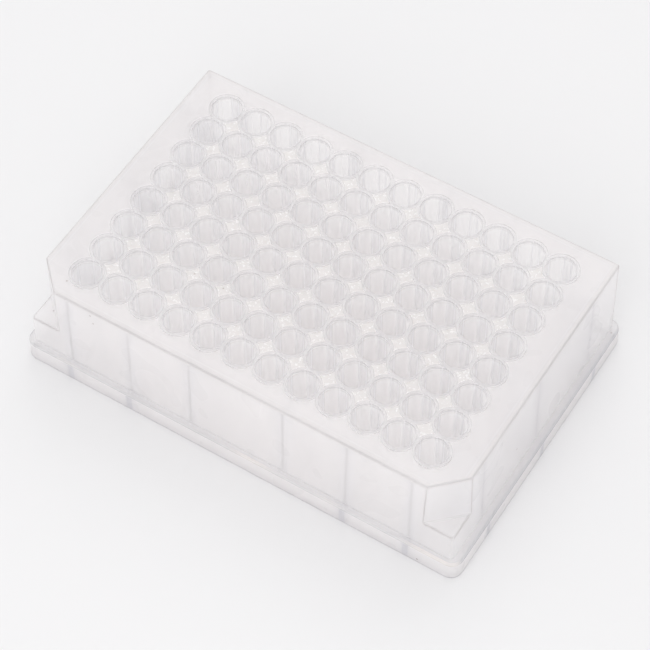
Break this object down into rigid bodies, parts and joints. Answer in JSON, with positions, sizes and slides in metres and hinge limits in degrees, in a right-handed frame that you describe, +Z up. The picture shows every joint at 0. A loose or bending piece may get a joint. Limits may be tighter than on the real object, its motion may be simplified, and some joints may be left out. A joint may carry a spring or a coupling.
{
  "type": "deep well plate",
  "caption": "Low translucent deep-well plate with a grid of round lipped wells, two notched front corners and a stepped foot flange.",
  "frame": {"origin": "centre of the resting face, under the middle of the plate", "axes": "+X along the long side to the right with the notched corners in front, +Y from the notched front side to the back, +Z up from the resting face towards the well mouths"},
  "size_m": [0.1278, 0.0854, 0.032],
  "materials": {
    "plate": "natural translucent polypropylene, satin moulded"
  },
  "bodies": {
    "root": {"well_plate": "plate"}
  },
  "joints": []
}
